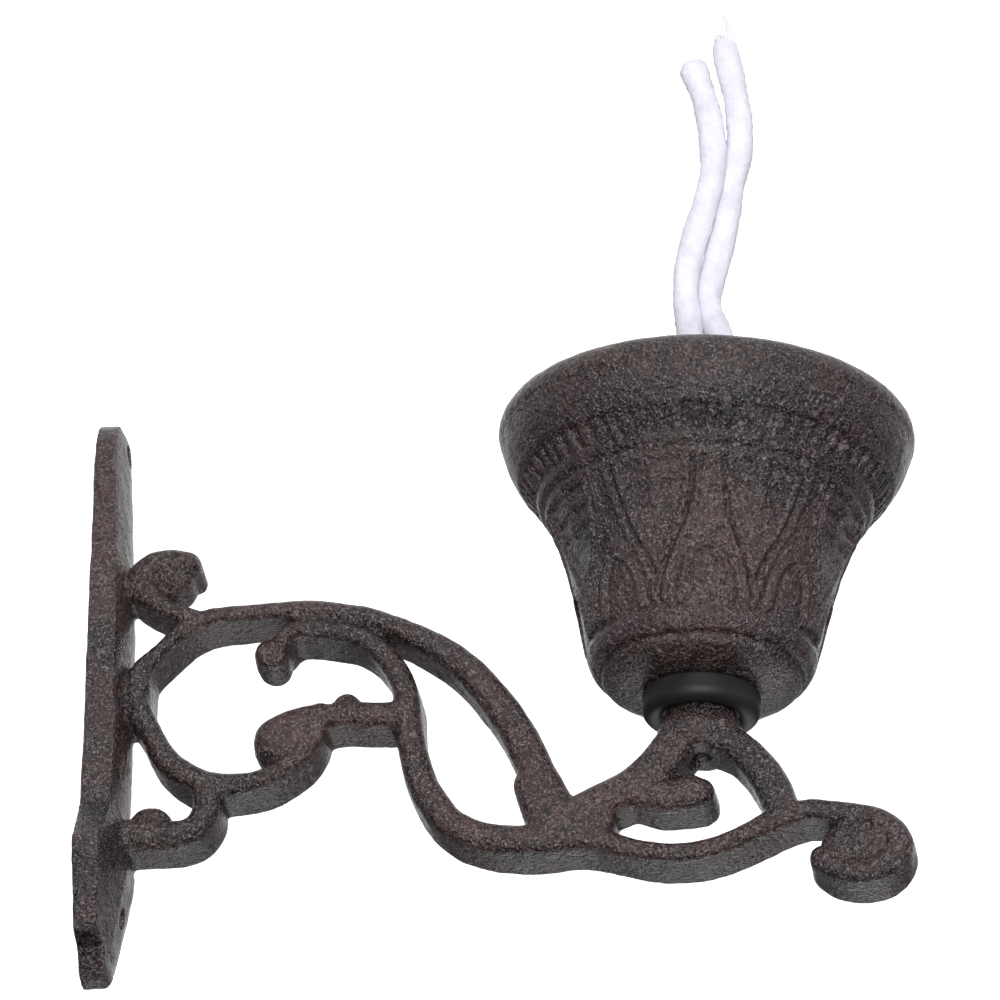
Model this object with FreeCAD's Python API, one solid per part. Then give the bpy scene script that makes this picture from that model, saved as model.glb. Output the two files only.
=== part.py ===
"""Wall mounted bell: a cast-iron scroll bracket with a cast-iron bell hanging from its boss.

Frame: X = 0 is the wall, +X points out along the arm, +Z is up in use, and Y = 0 is the plane of
symmetry. The origin is on the wall, midway between the two screw holes. All sizes are in millimetres.
"""

import FreeCAD
import Part
import math
import os

V = FreeCAD.Vector
OUT = "parts"

# ---- wall plate -------------------------------------------------------------------------------
HOLE_SPACING = 92.0        # between the two screw holes, up the wall
SCREW_HOLE_D = 4.2         # clears a 4 mm wood screw
STRAP_W = 18.0             # width of the plate along Y
PLATE_BOTTOM = -51.2
PLATE_TOP = 59.0
LOBE_HALF_W = 16.0         # half width of the lobe near the top of the plate
LOBE_EDGE_T = 4.9          # thickness at the lobe's edges
LOBE_T = 8.2               # thickness at the lobe's middle

# ---- scroll arm -------------------------------------------------------------------------------
ARM_T = 12.0               # thickness of the arm along Y
KNOB_T = 9.6               # thickness of the curled heads, which are a little thinner

# ---- bell and its fixing ----------------------------------------------------------------------
BELL_X = 110.0             # distance of the bell's axis from the wall
MOUTH_Z = -48.4            # lowest plane of the bell's lip
CROWN_Z = 6.0              # flat top of the bell, where the rubber washer sits
LIP_R = 3.5                # radius of the rounded lip
WALL_T = 3.4               # thickness of the bell's wall
CROWN_T = 4.0              # thickness of the crown under the washer
CROWN_HOLE_D = 5.0         # hole in the crown for the bolt
CUP_D = 21.2               # outside of the rubber cup washer
CUP_T = 4.8                # height of its rim
CUP_FLOOR_T = 4.0          # height of its floor, which the boss presses on
BOSS_FACE_D = 12.6
BOSS_ROOT_D = 16.0         # widest part of the boss
BOSS_ROOT_Z = 14.5
BOSS_TOP_D = 12.0
RING_TOP_Z = 18.4          # inner surface of the ring above the boss
BOLT_D = 4.0               # M4
BOLT_TOP_Z = 16.0
TAPPED_D = 4.06            # tapped hole in the boss, at the thread's crest
FLAT_WASHER_D = 11.0
FLAT_WASHER_T = 1.0
SPRING_WASHER_T = 1.1
NUT_AF = 7.0               # across the flats of an M4 nut
NUT_T = 3.2

# ---- clapper and cord -------------------------------------------------------------------------
GAP = 0.15                 # play between linked wires
EYE_R = 3.2                # centreline radius of the bolt's eye
EYE_WIRE_D = 2.4
EYE_Z = -9.0               # centre of the eye
LINK_WIRE_D = 1.8          # wire of the link and of the clapper
LINK_R = 2.4               # centreline radius of the link's bends
LINK_STRAIGHT = 2.0        # straight part of the link between its bends
LOOP_R = 2.4               # centreline radius of the clapper's upper loop
ROD_D = 2.6
BALL_D = 24.0
BALL_Z = -41.0
BALL_BORE_D = 2.64
TAIL_RING_R = 3.4          # centreline radius of the ring under the ball
TAIL_WIRE_D = 2.0
CORD_D = 4.2
BIGHT_R = 3.25             # centreline radius of the cord's turn through the ring

EYE_BOTTOM_Z = EYE_Z - EYE_R                                    # axis of the link's swing
LINK_TOP_Z = EYE_BOTTOM_Z + (EYE_WIRE_D + LINK_WIRE_D) / 2 + GAP - LINK_R
LINK_LOW_Z = LINK_TOP_Z - LINK_STRAIGHT
LINK_BOTTOM_Z = LINK_LOW_Z - LINK_R                             # axis of the clapper's swing
LOOP_Z = LINK_BOTTOM_Z + LINK_WIRE_D + GAP - LOOP_R
TAIL_RING_Z = BALL_Z - BALL_D / 2 - 0.6 - TAIL_RING_R - TAIL_WIRE_D / 2
BIGHT_Z = TAIL_RING_Z - TAIL_RING_R                             # axis of the cord's swing

# The two hanging ends of the cord, as the corners of their routes.
BIGHT_OVER = math.radians(18)     # how far the cord's turn goes on past a half turn, on the right
RIGHT_START = V(BELL_X + BIGHT_R * math.cos(BIGHT_OVER), 0, BIGHT_Z - BIGHT_R * math.sin(BIGHT_OVER))
RIGHT_AHEAD = V(-math.sin(BIGHT_OVER), 0, -math.cos(BIGHT_OVER))
LEFT_TAIL = [
    V(BELL_X - BIGHT_R, 0, BIGHT_Z), V(BELL_X - BIGHT_R, 0, -67), V(106.2, 0.6, -73.5), V(107.9, 0.9, -83.5),
    V(109.9, 0.9, -92.5), V(110.3, 0.9, -102), V(109.6, 0.9, -110.5), V(107.8, 0.8, -117), V(106, 0.8, -121.5),
]
RIGHT_TAIL = [
    RIGHT_START, RIGHT_START + RIGHT_AHEAD * 5.2, V(110.4, -0.9, -73.5), V(112, -0.9, -83.5),
    V(113.9, -0.9, -92.5), V(115, -0.9, -102), V(114.6, -0.9, -110.6), V(113.2, -0.9, -119), V(111.6, -0.8, -127),
]


def cylinder(d, height, at, axis=V(0, 0, 1)):
    """A solid cylinder whose first end is at the point `at`."""
    return Part.makeCylinder(d / 2, height, at, axis)


def fuse(shapes):
    """One solid out of overlapping solids."""
    whole = shapes[0].multiFuse(shapes[1:]) if len(shapes) > 1 else shapes[0]
    return whole.removeSplitter()


def export(name, shape):
    """Write one node, and print what it is made of."""
    shape.exportStep(os.path.join(OUT, name + ".step"))
    print(f"{name}: {len(shape.Solids)} solid, {shape.Volume:.1f} mm3, valid {shape.isValid()}")


# ---- the bracket casting ----------------------------------------------------------------------
# Each scroll is a line of (x, z, width) points in the plane Y = 0.
MAIN_ARCH = [
    (8.6, 2.5, 5.4), (9.6, -1.2, 4), (12.6, -4.3, 3), (15.3, -7.2, 3), (18.5, -9.6, 3.2),
    (22.5, -11, 3.2), (27.5, -11.4, 3.2), (33, -11.6, 3.3), (39, -11.6, 3.6), (45.5, -10.8, 3.9),
    (52, -9, 4.2), (58.2, -6.2, 4.6), (63.8, -2.8, 5.2), (68.5, 1.2, 5.8), (72.5, 6, 6.2),
    (76, 11, 6.4), (79, 16.6, 6.8), (81.4, 22.2, 7), (83.8, 27.8, 8), (86, 32.5, 8),
]
OVAL_AND_COMMA = [
    (8.6, 2.5, 5.4), (9, 6.4, 5), (11.2, 11, 4.4), (13.5, 15.5, 4.8), (16.9, 19.2, 5),
    (21, 21.6, 5), (25.5, 22.5, 4.6), (30, 22.1, 4), (34.4, 20.5, 3.8), (38, 17.8, 3.8),
    (40.5, 14.6, 3.8), (41.2, 11.4, 3.6), (39, 9.7, 3.2),
]
LOWER_CURL = [
    (19, -10.7, 3.2), (15, -12.3, 3.4), (11.2, -14.7, 4.4), (8.6, -18.4, 6), (10.2, -21.6, 5),
    (14, -22.6, 4.4), (17.2, -22, 4.4),
]
UPPER_CURL = [(21, 22, 5), (22.1, 27, 5.6), (19.5, 31, 5.4), (15, 31.8, 5.8), (6, 31.4, 6.6)]
INNER_CURL = [
    (34.6, -5.4, 3.4), (36.3, -7.4, 3.3), (40.5, -7.7, 3.8), (45.2, -7, 3.9), (49.8, -5.2, 4),
    (53.6, -1.8, 4.2), (56.5, 3, 4.6), (57.7, 8, 5), (58.1, 13, 5.2), (59.3, 19, 5.5),
    (61.5, 25, 5.8), (65, 30.2, 5.8),
]
LOWER_SWEEP = [
    (61.5, 25, 5.8), (65, 30.2, 5.8), (70.4, 33.8, 5.8), (76.5, 35.2, 5.8), (83, 35.2, 6.2),
    (90, 35.1, 5.6), (97, 37.4, 4.2), (104.5, 38.9, 3.8), (112, 38.5, 3.8), (118, 36.3, 4),
    (123.5, 33.5, 4.4), (129, 31.5, 4.2),
]
END_CURL = [
    (123.5, 33.5, 4.4), (129, 31.5, 4.2), (134.5, 31.9, 4), (140, 32.8, 4.2), (144.2, 35, 4.8),
    (146.3, 38.4, 5.2), (144.8, 41.8, 5.2), (140.5, 43.6, 5), (135.5, 43, 5), (133, 41, 5.4),
]
MIDDLE_BAR = [(42.5, 10, 4.4), (46, 9.2, 5.4), (50, 9.5, 5.2), (57, 9.8, 5.4)]
RING_LEFT = [(107.2, 15.4, 7.6), (103.2, 20.8, 7.6), (98.8, 25.1, 7.2), (93.5, 27.6, 6.4), (88, 31, 7)]
RING_RIGHT = [(112, 15.2, 6.6), (117.3, 18.2, 6), (121, 22.2, 6.4), (123.5, 26.3, 6.8), (125.4, 31, 6.4)]
RING_COMMA = [(98, 26, 5.2), (102, 27.3, 6), (106, 27.5, 6.4), (110.2, 27.2, 6.2)]
COMMA_HEAD = [(34.8, 13.7, 9.6), (38, 11.6, 8.4), (41.8, 9.4, 5.4)]
WEB = [(80, 24.5, 6), (83.5, 30, 9), (87.5, 32.5, 10.5), (91, 32, 9)]
# The round heads and lumps of the scrolls, as x, z, radius.
KNOBS = [
    (32.6, -3.5, 3.2), (35, 13.8, 5.2), (137.6, 38.6, 5.8), (141.6, 38, 3.6), (14.4, -19.8, 3.7),
    (46.6, 7.5, 2.7), (11.9, 29.8, 4.2), (108.3, 26.7, 3.8),
]


def slab(outline, thickness):
    """A flat face in the plane Y = 0 thickened evenly to both sides."""
    face = Part.Face(outline)
    face.translate(V(0, -thickness / 2, 0))
    return face.extrude(V(0, thickness, 0))


def scroll(line, thickness=ARM_T):
    """A bar of changing width that follows a smooth line through the points, with round ends."""
    middle = Part.BSplineCurve()
    middle.interpolate([V(x, 0, z) for x, z, _ in line])
    left, right = [], []
    for x, z, width in line:
        t = middle.tangent(middle.parameter(V(x, 0, z)))[0]
        side = V(-t.z, 0, t.x).normalize() * (width / 2)
        left.append(V(x, 0, z) + side)
        right.append(V(x, 0, z) - side)
    edge_a = Part.BSplineCurve()
    edge_a.interpolate(left)
    edge_b = Part.BSplineCurve()
    edge_b.interpolate(right)
    start = middle.tangent(middle.FirstParameter)[0].normalize() * (line[0][2] / 2)
    end = middle.tangent(middle.LastParameter)[0].normalize() * (line[-1][2] / 2)
    cap_end = Part.Arc(left[-1], V(line[-1][0], 0, line[-1][1]) + end, right[-1])
    cap_start = Part.Arc(right[0], V(line[0][0], 0, line[0][1]) - start, left[0])
    curves = (edge_a, cap_end, edge_b, cap_start)
    wire = Part.Wire(Part.__sortEdges__([curve.toShape() for curve in curves]))
    return slab(wire, thickness)


def knob(x, z, radius):
    """The round head at the end of a curl."""
    return cylinder(2 * radius, KNOB_T, V(x, -KNOB_T / 2, z), V(0, 1, 0))


# The plate's thickness from its lower end to its upper end: z, at its edges, on its middle line.
PLATE_SECTIONS = [
    (PLATE_BOTTOM - 1, 3.2, 4.4), (-30, 4.2, 5.8), (-10, 5, 6.9), (15, 5.6, 7.4), (35, 5.2, 7.2),
    (PLATE_TOP + 1, 3.7, 4.9),
]


def half_outline(points):
    """A closed outline in the plane X = 0 from points on one side and arcs over both ends."""
    near = [V(0, y, z) for y, z in points]
    far = [V(0, -y, z) for y, z in reversed(points)]
    bottom = Part.Arc(far[-1], V(0, 0, PLATE_BOTTOM), near[0])
    top = Part.Arc(near[-1], V(0, 0, PLATE_TOP), far[0])
    sides = [Part.makeLine(a, b) for line in (near, far) for a, b in zip(line, line[1:])]
    return Part.Wire(Part.__sortEdges__([bottom.toShape(), top.toShape()] + sides))


def strap_section(z, edge_t, middle_t):
    """Flat back, upright edges and an arched front."""
    half = STRAP_W / 2
    back = [V(-1, -half, z), V(-1, half, z)]
    front = [V(edge_t, half, z), V(edge_t, -half, z)]
    arch = Part.Arc(front[0], V(middle_t, 0, z), front[1])
    return Part.Wire([
        Part.makeLine(back[0], back[1]), Part.makeLine(back[1], front[0]), arch.toShape(),
        Part.makeLine(front[1], back[0]),
    ])


def lobe_section(z, half_w, edge_t, middle_t):
    """Flat back, upright edges, bevels up to a narrow flat front."""
    front = 4 * middle_t / LOBE_T
    corners = [
        (0, -half_w), (0, half_w), (edge_t, half_w), (middle_t, front), (middle_t, -front),
        (edge_t, -half_w), (0, -half_w),
    ]
    return Part.makePolygon([V(x, y, z) for x, y in corners])


def lobe():
    """The wider faceted part of the plate, thickest at its shoulders."""
    sections = [
        (27, 9, 5.4, 7.2), (36.8, LOBE_HALF_W, LOBE_EDGE_T, LOBE_T), (39.8, LOBE_HALF_W, LOBE_EDGE_T, 8),
        (52.5, 10.5, 3.9, 5.8), (53.8, 7.5, 3.8, 5.6),
    ]
    return Part.makeLoft([lobe_section(*section) for section in sections], True, True)


def plate():
    """The strap on the wall, with rounded ends, an arched front and the lobe near its top."""
    half = STRAP_W / 2
    outline = half_outline([(half, PLATE_BOTTOM + half), (half, 50.5), (6.5, 53.8)])
    blank = Part.Face(outline).extrude(V(LOBE_T, 0, 0))
    strap = blank.common(Part.makeLoft([strap_section(*s) for s in PLATE_SECTIONS], True, False))
    return fuse([strap, lobe()])


def bracket():
    scrolls = [MAIN_ARCH, OVAL_AND_COMMA, LOWER_CURL, UPPER_CURL, INNER_CURL, LOWER_SWEEP,
               END_CURL, MIDDLE_BAR, RING_LEFT, RING_RIGHT, RING_COMMA,
               COMMA_HEAD, WEB]
    arm = fuse([scroll(line) for line in scrolls] + [knob(*k) for k in KNOBS])
    beyond_wall = Part.makeBox(200, 60, 200, V(1.5, -30, -100))
    arm = arm.common(beyond_wall)
    neck_z = CROWN_Z + CUP_FLOOR_T
    at = V(BELL_X, 0, neck_z)
    neck = Part.makeCone(BOSS_FACE_D / 2, BOSS_ROOT_D / 2, BOSS_ROOT_Z - neck_z, at)
    at = V(BELL_X, 0, BOSS_ROOT_Z)
    neck_top = Part.makeCone(BOSS_ROOT_D / 2, BOSS_TOP_D / 2, RING_TOP_Z - BOSS_ROOT_Z, at)
    whole = fuse([plate(), arm, neck, neck_top])
    tapped = cylinder(TAPPED_D, 14, V(BELL_X, 0, neck_z - 1))
    screws = [
        cylinder(SCREW_HOLE_D, 20, V(-5, 0, s * HOLE_SPACING / 2), V(1, 0, 0)) for s in (-1, 1)
    ]
    return whole.cut(tapped).cut(screws[0]).cut(screws[1])


# ---- the bell ---------------------------------------------------------------------------------
# The outer profile as (radius, z) points from the lip up to the crown.
BELL_OUTSIDE = [
    (37.0, -42.9), (35.2, -38.5), (31.6, -33.5), (28.6, -28.5), (26.4, -23.5), (24.8, -18.5),
    (23.5, -13.5), (22.4, -8.5), (21.3, -3.5), (20.0, 0.6), (17.6, 3.6), (14.8, 5.2), (11.4, CROWN_Z),
]


def bell():
    lip_centre = V(34.0, 0, MOUTH_Z + LIP_R)
    lip_low = lip_centre + V(0, 0, -LIP_R)
    angle = math.radians(34)
    lip_out = lip_centre + V(LIP_R * math.cos(angle), 0, LIP_R * math.sin(angle))
    lip_side = lip_centre + V(LIP_R * math.cos(-angle), 0, LIP_R * math.sin(-angle))
    outside = Part.BSplineCurve()
    outside.interpolate([lip_out] + [V(r, 0, z) for r, z in BELL_OUTSIDE[1:]])
    inner_top = CROWN_Z - CROWN_T
    inside_points = [V(r - WALL_T, 0, z - 0.8) for r, z in BELL_OUTSIDE[2:10]]
    inside = Part.BSplineCurve()
    inside.interpolate([V(32.0, 0, MOUTH_Z + 1.2)] + inside_points + [V(12.0, 0, inner_top)])
    inner_low = V(32.0, 0, MOUTH_Z + 1.2)
    lip_corner = Part.Arc(lip_low, V(32.6, 0, MOUTH_Z + 0.3), inner_low)
    hole_r = CROWN_HOLE_D / 2
    wire = Part.Wire(Part.__sortEdges__([
        Part.Arc(lip_low, lip_side, lip_out).toShape(),
        outside.toShape(),
        Part.makeLine(V(11.4, 0, CROWN_Z), V(hole_r, 0, CROWN_Z)),
        Part.makeLine(V(hole_r, 0, CROWN_Z), V(hole_r, 0, inner_top)),
        Part.makeLine(V(hole_r, 0, inner_top), V(12.0, 0, inner_top)),
        inside.toShape(),
        lip_corner.toShape(),
    ]))
    shell = Part.Face(wire).revolve(V(0, 0, 0), V(0, 0, 1), 360)
    shell.translate(V(BELL_X, 0, 0))
    return shell


# ---- the bell's fixing ------------------------------------------------------------------------
def on_axis(shape):
    """Move a shape made about the Z axis onto the bell's axis."""
    shape.translate(V(BELL_X, 0, 0))
    return shape


def washer(outer_d, hole_d, low, high):
    ring = cylinder(outer_d, high - low, V(0, 0, low)).cut(cylinder(hole_d, high - low, V(0, 0, low)))
    return on_axis(ring)


def rubber_cup_washer():
    """A soft cup whose rim stands up around the boss."""
    r = CUP_D / 2
    low, rim, floor = CROWN_Z, CROWN_Z + CUP_T, CROWN_Z + CUP_FLOOR_T
    recess = BOSS_FACE_D / 2 + 0.6
    round_r = (r - recess - 0.5) / 2
    points = [
        V(BOLT_D / 2 + 0.1, 0, low), V(r - 0.6, 0, low), V(r, 0, low + 0.6), V(r, 0, rim - round_r),
        V(recess + 0.5, 0, rim), V(recess, 0, rim - 0.4), V(recess, 0, floor), V(BOLT_D / 2 + 0.1, 0, floor),
    ]
    rim_top = V(r - round_r * 0.3, 0, rim - round_r * 0.3)
    edges = [Part.makeLine(a, b) for a, b in zip(points[:4], points[1:4])]
    edges.append(Part.Arc(points[3], rim_top, points[4]).toShape())
    edges += [Part.makeLine(a, b) for a, b in zip(points[4:], points[5:] + points[:1])]
    return on_axis(Part.Face(Part.Wire(edges)).revolve(V(0, 0, 0), V(0, 0, 1), 360))


def eye_bolt():
    """An M4 bolt with an eye at its lower end."""
    shank = cylinder(BOLT_D, BOLT_TOP_Z - (EYE_Z + EYE_R), V(0, 0, EYE_Z + EYE_R))
    eye = Part.makeTorus(EYE_R, EYE_WIRE_D / 2, V(0, 0, EYE_Z), V(0, 1, 0))
    return on_axis(fuse([shank, eye]))


def lock_nut():
    top = CROWN_Z - CROWN_T - FLAT_WASHER_T - SPRING_WASHER_T
    corner = NUT_AF / math.sqrt(3)
    hexagon = [
        V(corner * math.cos(math.radians(60 * k)), corner * math.sin(math.radians(60 * k)), top - NUT_T)
        for k in range(7)
    ]
    body = Part.Face(Part.makePolygon(hexagon)).extrude(V(0, 0, NUT_T))
    chamfer = Part.makeSphere(4.35, V(0, 0, top - NUT_T / 2))
    hole = cylinder(BOLT_D + 0.06, NUT_T, V(0, 0, top - NUT_T))
    return on_axis(body.common(chamfer).cut(hole))


def spring_washer():
    """A split ring, cut through on the slant."""
    top = CROWN_Z - CROWN_T - FLAT_WASHER_T
    ring = washer(7.4, BOLT_D + 0.2, top - SPRING_WASHER_T, top)
    slit = Part.makeBox(6, 0.5, 6, V(0, -0.25, -3))
    slit.rotate(V(0, 0, 0), V(1, 0, 0), 25)
    slit.translate(V(BELL_X, 0, top - SPRING_WASHER_T / 2))
    return ring.cut(slit)


# ---- link, clapper and cord -------------------------------------------------------------------
def clapper_link():
    """A closed oval link in the plane through the bell's axis, across the arm."""
    r = LINK_WIRE_D / 2
    parts = []
    for z, up in ((LINK_TOP_Z, 1), (LINK_LOW_Z, -1)):
        ring = Part.makeTorus(LINK_R, r, V(0, 0, z), V(1, 0, 0))
        half = Part.makeBox(20, 20, 10, V(-10, -10, z if up > 0 else z - 10))
        parts.append(ring.common(half))
    parts += [cylinder(LINK_WIRE_D, LINK_STRAIGHT, V(0, s * LINK_R, LINK_LOW_Z)) for s in (-1, 1)]
    return on_axis(fuse(parts))


def clapper_rod():
    """A wire with a loop at each end, which runs through the ball."""
    loop = Part.makeTorus(LOOP_R, LINK_WIRE_D / 2, V(0, 0, LOOP_Z), V(0, 1, 0))
    top, low = LOOP_Z - LOOP_R, TAIL_RING_Z + TAIL_RING_R
    rod = cylinder(ROD_D, top - low, V(0, 0, low))
    tail = Part.makeTorus(TAIL_RING_R, TAIL_WIRE_D / 2, V(0, 0, TAIL_RING_Z), V(1, 0, 0))
    return on_axis(fuse([loop, rod, tail]))


def clapper_ball():
    ball = Part.makeSphere(BALL_D / 2, V(0, 0, BALL_Z))
    return on_axis(ball.cut(cylinder(BALL_BORE_D, BALL_D + 2, V(0, 0, BALL_Z - BALL_D / 2 - 1))))


def cord_bight():
    """The turn of the cord through the ring under the ball."""
    section = Part.Face(Part.Wire(Part.Circle(V(-BIGHT_R, 0, BIGHT_Z), V(0, 0, 1), CORD_D / 2).toShape()))
    turn = section.revolve(V(0, 0, BIGHT_Z), V(0, 1, 0), 180 + math.degrees(BIGHT_OVER))
    return on_axis(turn)


def cord(name, route):
    """A round cord along straight runs joined by tangent arcs."""
    points = route
    runs = [(b - a).Length for a, b in zip(points, points[1:])]
    edges, here, radii = [], points[0], []
    for before, corner, after, run_in, run_out in zip(points, points[1:], points[2:], runs, runs[1:]):
        way_in = (corner - before).normalize()
        way_out = (after - corner).normalize()
        half_turn = way_in.getAngle(way_out) / 2
        trim = 0.45 * min(run_in, run_out)
        arc_start = corner - way_in * trim
        arc_end = corner + way_out * trim
        radii.append(trim / math.tan(half_turn))
        to_centre = (way_out - way_in).normalize()
        middle = corner + to_centre * (radii[-1] * (1 / math.cos(half_turn) - 1))
        edges.append(Part.LineSegment(here, arc_start).toShape())
        edges.append(Part.Arc(arc_start, middle, arc_end).toShape())
        here = arc_end
    edges.append(Part.LineSegment(here, points[-1]).toShape())
    path = Part.Wire(edges)
    section = Part.Wire(Part.Circle(points[0], points[1] - points[0], CORD_D / 2).toShape())
    tube = path.makePipeShell([section], True, False)
    expected = math.pi * CORD_D ** 2 / 4 * path.Length
    print(f"{name}: radii {[round(r, 1) for r in radii]}, length {path.Length:.1f}, "
          f"volume over section x length {tube.Volume / expected:.3f}")
    return tube


def main():
    os.makedirs(OUT, exist_ok=True)
    crown_low = CROWN_Z - CROWN_T
    export("bracket_casting", bracket())
    export("bell", bell())
    export("rubber_cup_washer", rubber_cup_washer())
    export("eye_bolt", eye_bolt())
    export("flat_washer", washer(FLAT_WASHER_D, BOLT_D + 0.3, crown_low - FLAT_WASHER_T, crown_low))
    export("spring_washer", spring_washer())
    export("lock_nut", lock_nut())
    export("clapper_link", clapper_link())
    export("clapper_rod", clapper_rod())
    export("clapper_ball", clapper_ball())
    export("cord_bight", cord_bight())
    export("cord_tail_left", cord("cord_tail_left", LEFT_TAIL))
    export("cord_tail_right", cord("cord_tail_right", RIGHT_TAIL))


main()
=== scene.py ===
"""Wall mounted bell: the visual model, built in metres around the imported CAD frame.

X = 0 is the wall, +X points out along the arm, +Z is up in use. The camera is turned upside down,
because the object is shown that way up.
"""

import math

import bpy
import numpy as np
from mathutils import Matrix, Vector


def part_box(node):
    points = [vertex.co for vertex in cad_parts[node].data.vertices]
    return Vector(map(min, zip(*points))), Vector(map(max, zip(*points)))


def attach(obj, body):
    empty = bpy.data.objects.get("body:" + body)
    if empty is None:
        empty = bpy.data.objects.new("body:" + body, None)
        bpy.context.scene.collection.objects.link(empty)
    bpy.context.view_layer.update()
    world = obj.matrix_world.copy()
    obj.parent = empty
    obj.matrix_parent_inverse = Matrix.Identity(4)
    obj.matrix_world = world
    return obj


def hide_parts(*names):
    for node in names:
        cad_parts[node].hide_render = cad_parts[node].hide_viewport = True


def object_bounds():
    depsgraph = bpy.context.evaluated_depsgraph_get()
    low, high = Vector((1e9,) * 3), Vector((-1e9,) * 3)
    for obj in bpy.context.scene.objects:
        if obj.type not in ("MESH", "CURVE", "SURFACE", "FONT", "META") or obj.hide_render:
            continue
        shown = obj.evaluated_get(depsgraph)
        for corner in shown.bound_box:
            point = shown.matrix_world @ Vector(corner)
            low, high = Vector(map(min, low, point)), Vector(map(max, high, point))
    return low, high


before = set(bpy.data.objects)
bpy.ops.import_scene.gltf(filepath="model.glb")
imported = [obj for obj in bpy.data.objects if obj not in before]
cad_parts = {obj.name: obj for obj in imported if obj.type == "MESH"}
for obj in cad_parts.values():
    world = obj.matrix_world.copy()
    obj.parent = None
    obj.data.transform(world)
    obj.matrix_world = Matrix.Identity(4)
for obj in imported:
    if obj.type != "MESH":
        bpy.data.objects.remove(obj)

MM = 0.001
CAD_LO, CAD_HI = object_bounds()
BELL_LO, BELL_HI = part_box("bell")
BELL_X = (BELL_LO.x + BELL_HI.x) / 2

# ---- camera -----------------------------------------------------------------------------------
CAMERA_DISTANCE = 2.5
CAMERA_LENS = 500.4                        # mm, on a 36 mm sensor
CAMERA_ELEVATION = math.radians(26.5)
CAMERA_YAW = math.radians(8.5)
CAMERA_ROLL = math.radians(181.6)
AIM = Vector((BELL_X, 0, -0.0465))         # a point on the bell's axis
AIM_IN_IMAGE = (0.707, 0.432)              # where it shows, as shares of the frame from its top left


def make_camera():
    data = bpy.data.cameras.new("camera")
    data.lens = CAMERA_LENS
    data.sensor_width = 36
    data.clip_start, data.clip_end = 0.05, 50
    camera = bpy.data.objects.new("camera", data)
    bpy.context.scene.collection.objects.link(camera)
    flat = math.cos(CAMERA_ELEVATION)
    back = Vector((math.sin(CAMERA_YAW) * flat, math.cos(CAMERA_YAW) * flat, math.sin(CAMERA_ELEVATION)))
    ahead = -back
    level = ahead.cross(Vector((0, 0, 1))).normalized()
    above = level.cross(ahead)
    right = level * math.cos(CAMERA_ROLL) + above * math.sin(CAMERA_ROLL)
    up = above * math.cos(CAMERA_ROLL) - level * math.sin(CAMERA_ROLL)
    per_unit = 36 / CAMERA_LENS
    off_x = (AIM_IN_IMAGE[0] - 0.5) * per_unit
    off_y = (0.5 - AIM_IN_IMAGE[1]) * per_unit
    place = AIM - CAMERA_DISTANCE * (ahead + off_x * right + off_y * up)
    turn = Matrix((right, up, back)).transposed().to_4x4()
    camera.matrix_world = Matrix.Translation(place) @ turn
    bpy.context.scene.camera = camera


make_camera()


# ---- mesh helpers -----------------------------------------------------------------------------
def new_object(name, verts, faces, smooth=True):
    """A mesh object from arrays, with its origin at the frame's origin."""
    mesh = bpy.data.meshes.new(name)
    mesh.from_pydata([tuple(v) for v in verts], [], [tuple(f) for f in faces])
    mesh.validate()
    mesh.update()
    if smooth:
        mesh.polygons.foreach_set("use_smooth", [True] * len(mesh.polygons))
    obj = bpy.data.objects.new(name, mesh)
    bpy.context.scene.collection.objects.link(obj)
    return obj


def grid_faces(rows, columns, closed_rows=False, first=0):
    """Quads over rows of points, where each row is a closed ring."""
    faces = []
    for i in range(rows if closed_rows else rows - 1):
        a, b = i * columns, (i + 1) % rows * columns
        for j in range(columns):
            k = (j + 1) % columns
            faces.append((first + a + j, first + a + k, first + b + k, first + b + j))
    return faces


def solid_of_rings(rings):
    """Points and faces of a closed solid from rings with equally many points."""
    rings = np.asarray(rings, float)
    rows, columns = rings.shape[:2]
    faces = grid_faces(rows, columns)
    faces.append(tuple(range(columns))[::-1])
    faces.append(tuple((rows - 1) * columns + j for j in range(columns)))
    return rings.reshape(-1, 3), faces


def joined(solids):
    """Points and faces of several solids as one list."""
    verts, faces, first = [], [], 0
    for points, quads in solids:
        verts.append(points)
        faces += [tuple(first + i for i in face) for face in quads]
        first += len(points)
    return np.concatenate(verts), faces


def smooth_line(points, step):
    """Samples of a natural cubic spline through rows whose first two columns are its place."""
    p = np.array(points, float)
    gaps = np.linalg.norm(np.diff(p[:, :2], axis=0), axis=1)
    t = np.concatenate([[0], np.cumsum(gaps)])
    n = len(p)
    matrix, rhs = np.eye(n), np.zeros_like(p)
    for i in range(1, n - 1):
        matrix[i, i - 1:i + 2] = gaps[i - 1], 2 * (gaps[i - 1] + gaps[i]), gaps[i]
        rhs[i] = 6 * ((p[i + 1] - p[i]) / gaps[i] - (p[i] - p[i - 1]) / gaps[i - 1])
    bend = np.linalg.solve(matrix, rhs)
    s = np.linspace(0, t[-1], max(8, int(t[-1] / step)))
    k = np.clip(np.searchsorted(t, s) - 1, 0, n - 2)
    gap = gaps[k][:, None]
    u = s[:, None] - t[k][:, None]
    v = gap - u
    curved = (bend[k] * v**3 + bend[k + 1] * u**3) / (6 * gap)
    return curved + (p[k] / gap - bend[k] * gap / 6) * v + (p[k + 1] / gap - bend[k + 1] * gap / 6) * u


def apply_modifiers(obj):
    """Replace an object's mesh by what its modifiers make of it."""
    graph = bpy.context.evaluated_depsgraph_get()
    mesh = bpy.data.meshes.new_from_object(obj.evaluated_get(graph))
    obj.modifiers.clear()
    obj.data = mesh
    mesh.polygons.foreach_set("use_smooth", [True] * len(mesh.polygons))


def cloud(name, size, depth=2):
    texture = bpy.data.textures.new(name, "CLOUDS")
    texture.noise_scale = size
    texture.noise_depth = depth
    texture.noise_basis = "IMPROVED_PERLIN"
    return texture


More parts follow.
